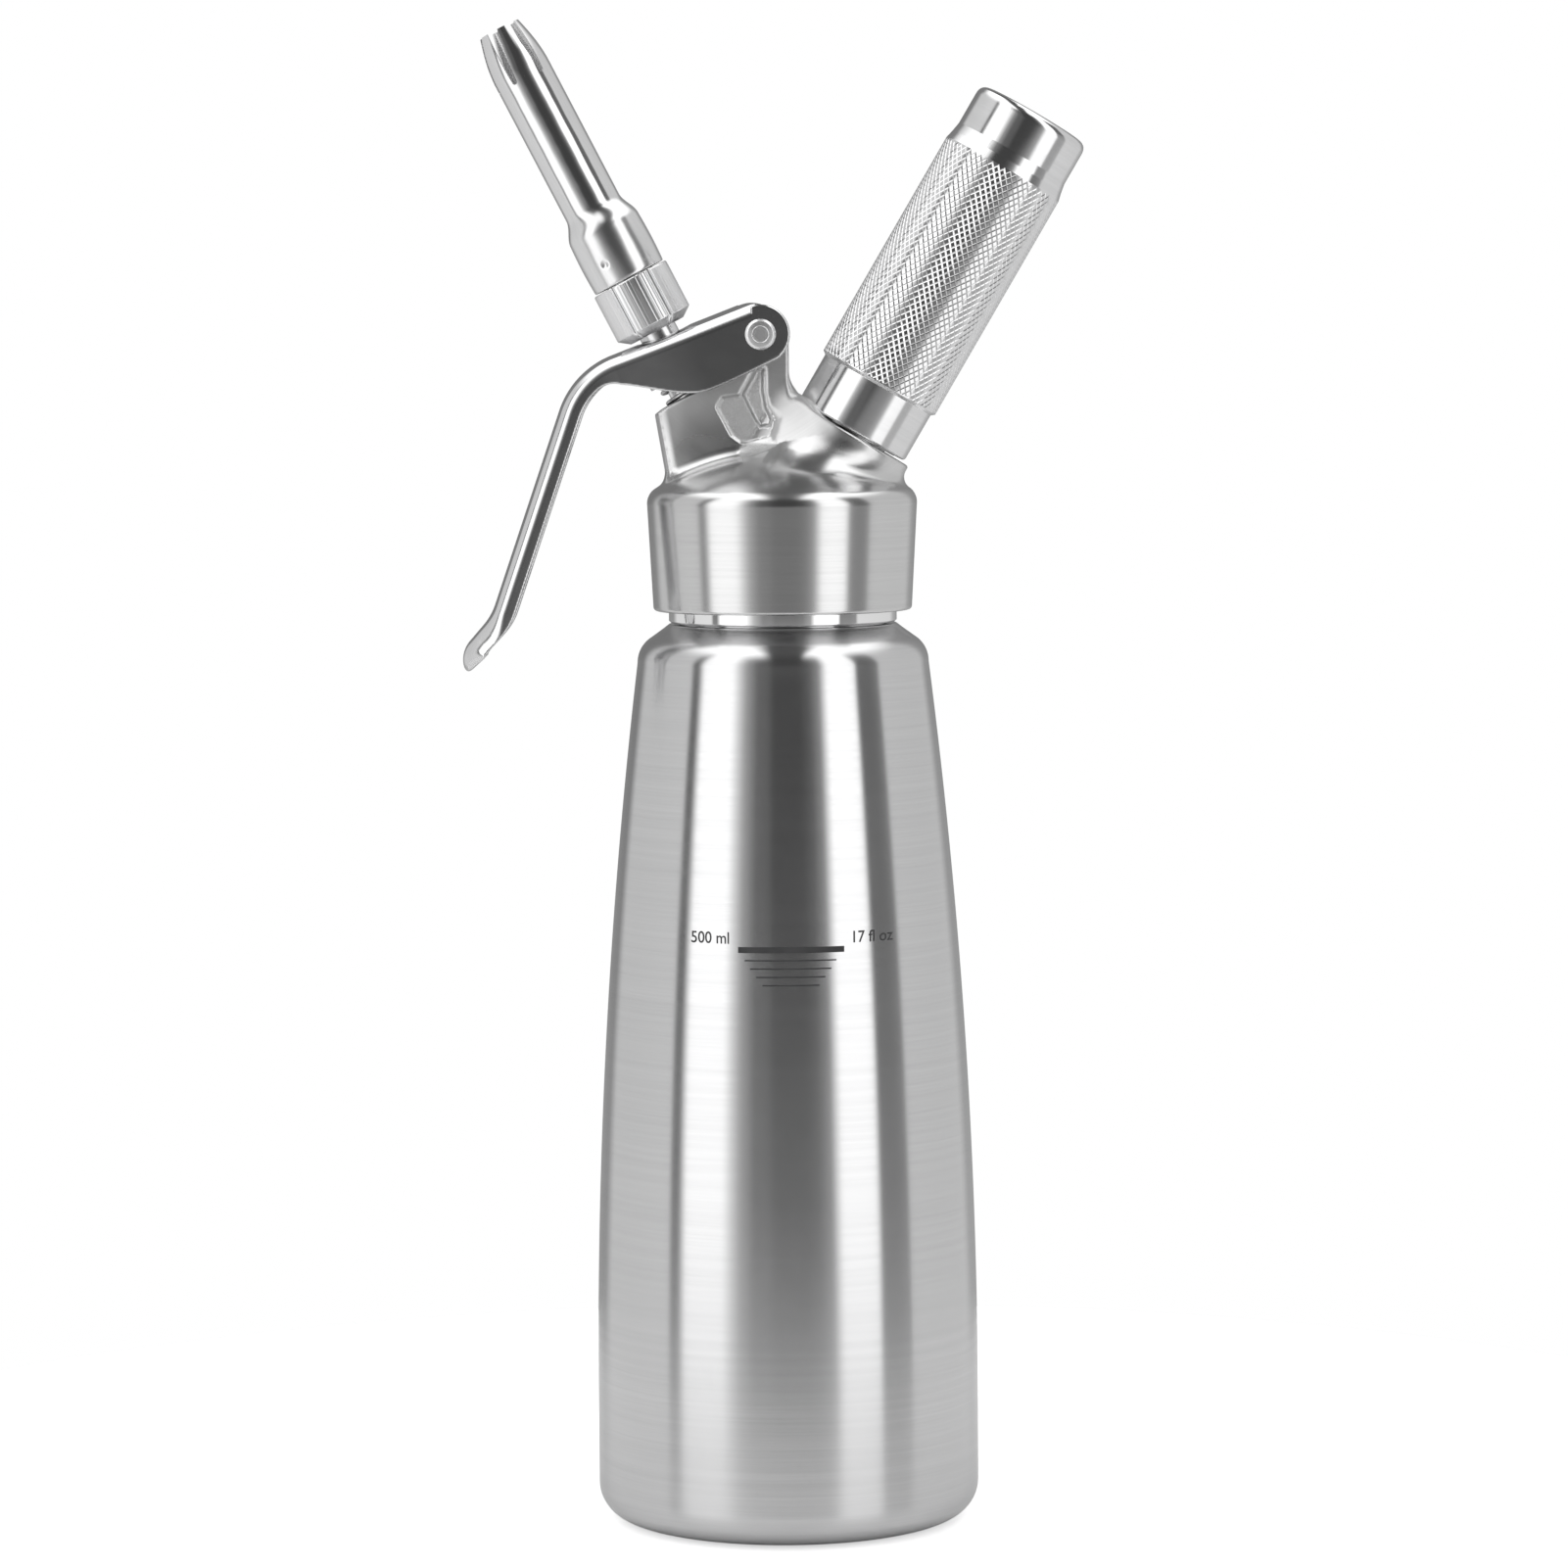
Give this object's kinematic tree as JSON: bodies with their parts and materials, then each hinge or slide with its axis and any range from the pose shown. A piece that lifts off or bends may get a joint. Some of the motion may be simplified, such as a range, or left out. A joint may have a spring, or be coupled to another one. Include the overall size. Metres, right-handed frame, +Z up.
{
  "type": "whipped cream dispenser",
  "caption": "Stainless cream whipper: tapering bottle, screwed head with squeeze lever and valve, petal nozzle on a ring nut, knurled holder for a gas charger.",
  "frame": {"origin": "centre of the bottle's flat foot", "axes": "+Z up along the bottle's axis, +X towards the charger holder, -X towards lever and nozzle, +Y to the back"},
  "size_m": [0.127, 0.0784, 0.3072],
  "materials": {
    "brushed": "satin, brushed round its axis",
    "cast": "satin casting with blasted pockets",
    "polished": "polished stainless steel",
    "turned": "fine turned",
    "spring": "drawn wire",
    "red_silicone": "matte",
    "black_rubber": "matte",
    "white_plastic": "matte"
  },
  "bodies": {
    "bottle": {"bottle": "brushed", "neck_ring": "polished"},
    "head_lift": {"head_gasket": "red_silicone"},
    "head": {"head_body": "cast", "pivot_screw": "turned", "pivot_sleeve": "turned", "valve_spring": "spring", "charger_post": "turned", "piercing_needle": "turned", "charger_seal": "black_rubber", "check_valve_disc": "black_rubber", "check_valve_nut": "turned"},
    "lever": {"lever": "polished"},
    "valve": {"valve_stem": "turned", "spring_cap": "turned", "stem_o_ring": "black_rubber", "valve_seal": "black_rubber", "seal_retainer": "turned"},
    "nozzle_travel": {"adapter_seal": "black_rubber"},
    "nozzle": {"nozzle_adapter": "turned", "nozzle_insert": "white_plastic", "decorator_nozzle": "polished"},
    "holder_travel": {"gas_charger": "brushed"},
    "holder": {"charger_holder": "brushed"}
  },
  "joints": [
    {"name": "head_lift", "type": "slide", "parent": "bottle", "child": "head_lift", "axis": [0, 0, 1], "range_m": [0, 0.013]},
    {"name": "head_turn", "type": "hinge", "parent": "head_lift", "child": "head", "pos_m": [0, 0, 0.19], "axis": [0, 0, 1], "range_deg": [0, 1172]},
    {"name": "lever_squeeze", "type": "hinge", "parent": "head", "child": "lever", "pos_m": [-0.00413, 0, 0.24319], "axis": [0, -1, 0], "range_deg": [0, 10], "stiffness_Nm_per_rad": 0.7, "springref_deg": -7.45},
    {"name": "valve_slide", "type": "slide", "parent": "head", "child": "valve", "axis": [0.4587, 0, -0.8886], "range_m": [0, 0.0032], "stiffness_N_per_m": 300, "springref_m": -0.004, "deforming": ["valve_spring"]},
    {"name": "nozzle_travel", "type": "slide", "parent": "valve", "child": "nozzle_travel", "axis": [-0.4587, 0, 0.8886], "range_m": [0, 0.0086]},
    {"name": "nozzle_turn", "type": "hinge", "parent": "nozzle_travel", "child": "nozzle", "pos_m": [-0.01855, 0, 0.23125], "axis": [-0.4587, 0, 0.8886], "range_deg": [0, 2070]},
    {"name": "holder_travel", "type": "slide", "parent": "head", "child": "holder_travel", "axis": [0.5065, 0, 0.8622], "range_m": [0, 0.009]},
    {"name": "holder_turn", "type": "hinge", "parent": "holder_travel", "child": "holder", "pos_m": [0.01431, 0, 0.22346], "axis": [0.5065, 0, 0.8622], "range_deg": [0, 2165]}
  ],
  "couplings": [
    {"joint": "head_turn", "follows": "head_lift", "rad_per_m": 1570.8},
    {"joint": "lever_squeeze", "follows": "valve_slide", "rad_per_m": 54.54},
    {"joint": "nozzle_turn", "follows": "nozzle_travel", "rad_per_m": 4188.8},
    {"joint": "holder_turn", "follows": "holder_travel", "rad_per_m": 4188.8}
  ]
}
